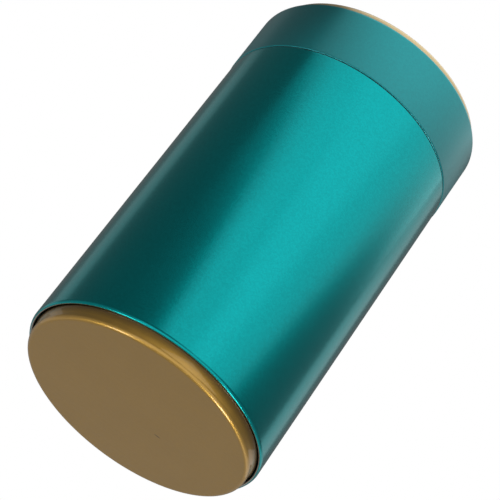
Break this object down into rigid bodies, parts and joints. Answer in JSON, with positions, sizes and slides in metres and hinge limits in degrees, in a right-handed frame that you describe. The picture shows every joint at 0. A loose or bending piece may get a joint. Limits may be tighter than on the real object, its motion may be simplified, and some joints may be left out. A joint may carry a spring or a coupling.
{
  "type": "round powder tin with slip lid",
  "caption": "Round slip-lid powder tin in teal lacquer with gold end plates; the lid lifts off a neck sleeve and a turning sifter sits below it.",
  "frame": {"origin": "centre of the gold base plate's flat face, on the surface that the tin stands on", "axes": "+Z along the tin's turning axis, from the base up to the lid; +X and +Y are across it"},
  "size_m": [0.071, 0.071, 0.1244],
  "materials": {
    "teal_lacquer": "satin metallic lacquer",
    "gold_lacquer": "satin metallic lacquer",
    "bare_tinplate": "bright rolled tinplate",
    "liner_foam": "soft closed-cell foam"
  },
  "bodies": {
    "tin_body": {"body_shell": "teal_lacquer", "base_cup": "gold_lacquer", "neck_ring": "bare_tinplate"},
    "sifter": {"sifter_cup": "bare_tinplate", "sifter_rivet": "bare_tinplate"},
    "shutter": {"shutter_disc": "bare_tinplate"},
    "lid": {"lid_skirt": "teal_lacquer", "lid_top_cup": "gold_lacquer", "lid_liner": "liner_foam"}
  },
  "joints": [
    {"name": "sifter_lift", "type": "slide", "parent": "tin_body", "child": "sifter", "axis": [0, 0, 1], "range_m": [0, 0.03]},
    {"name": "shutter_turn", "type": "hinge", "parent": "sifter", "child": "shutter", "pos_m": [0, 0, 0.113], "axis": [0, 0, 1], "range_deg": [0, 15]},
    {"name": "lid_pull", "type": "slide", "parent": "sifter", "child": "lid", "axis": [0, 0, 1], "range_m": [0, 0.045]}
  ]
}
